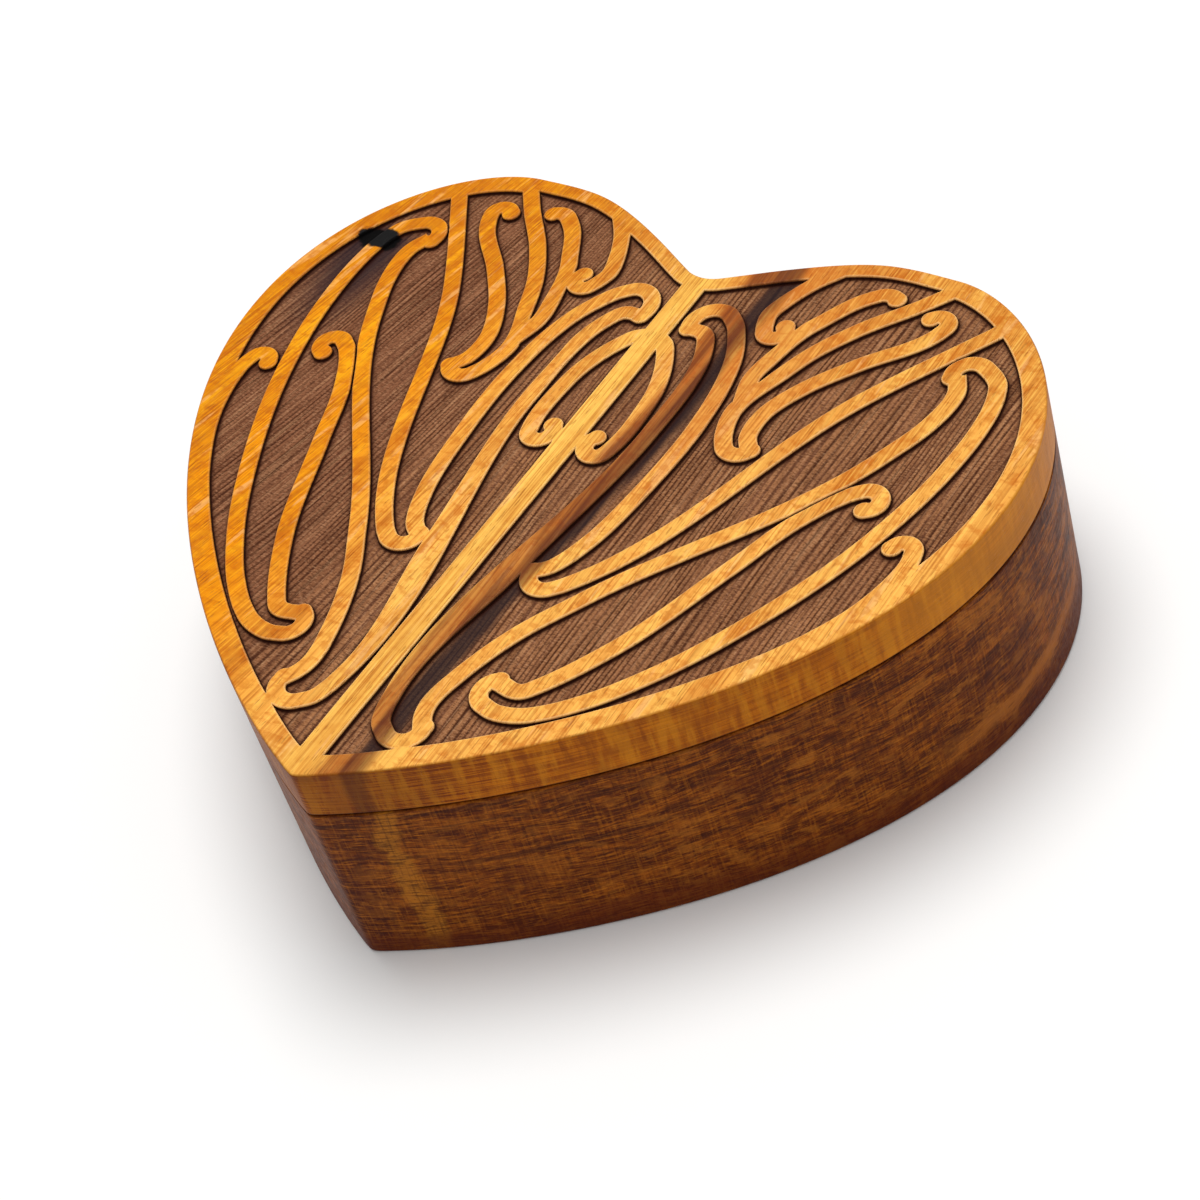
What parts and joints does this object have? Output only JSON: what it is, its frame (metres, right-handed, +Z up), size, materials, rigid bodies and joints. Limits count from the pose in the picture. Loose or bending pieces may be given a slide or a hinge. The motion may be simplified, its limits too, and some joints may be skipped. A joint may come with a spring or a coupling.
{
  "type": "heart-shaped keepsake box",
  "caption": "Heart-shaped timber keepsake box with a felt-lined pocket and a lift-off lid carved in low relief with mirrored scrolling stems.",
  "frame": {"origin": "on the table under the middle of the heart's width and length", "axes": "+X across the heart towards its right lobe, +Y from the tip towards the cleft, +Z up out of the lid"},
  "size_m": [0.15, 0.131, 0.0444],
  "materials": {
    "golden_timber": "oiled satin, the sunk field scorched dark",
    "brown_timber": "oiled satin",
    "red_brown_timber": "sanded, oiled",
    "plain_timber": "sanded",
    "felt": "wool felt"
  },
  "bodies": {
    "base": {"body_wall": "brown_timber", "bottom_board": "red_brown_timber", "floor_lining": "felt"},
    "cover": {"lid": "golden_timber", "lid_locating_board": "plain_timber"}
  },
  "joints": [
    {"name": "lid_lift", "type": "slide", "parent": "base", "child": "cover", "axis": [0, 0, 1], "range_m": [0, 0.06]}
  ]
}
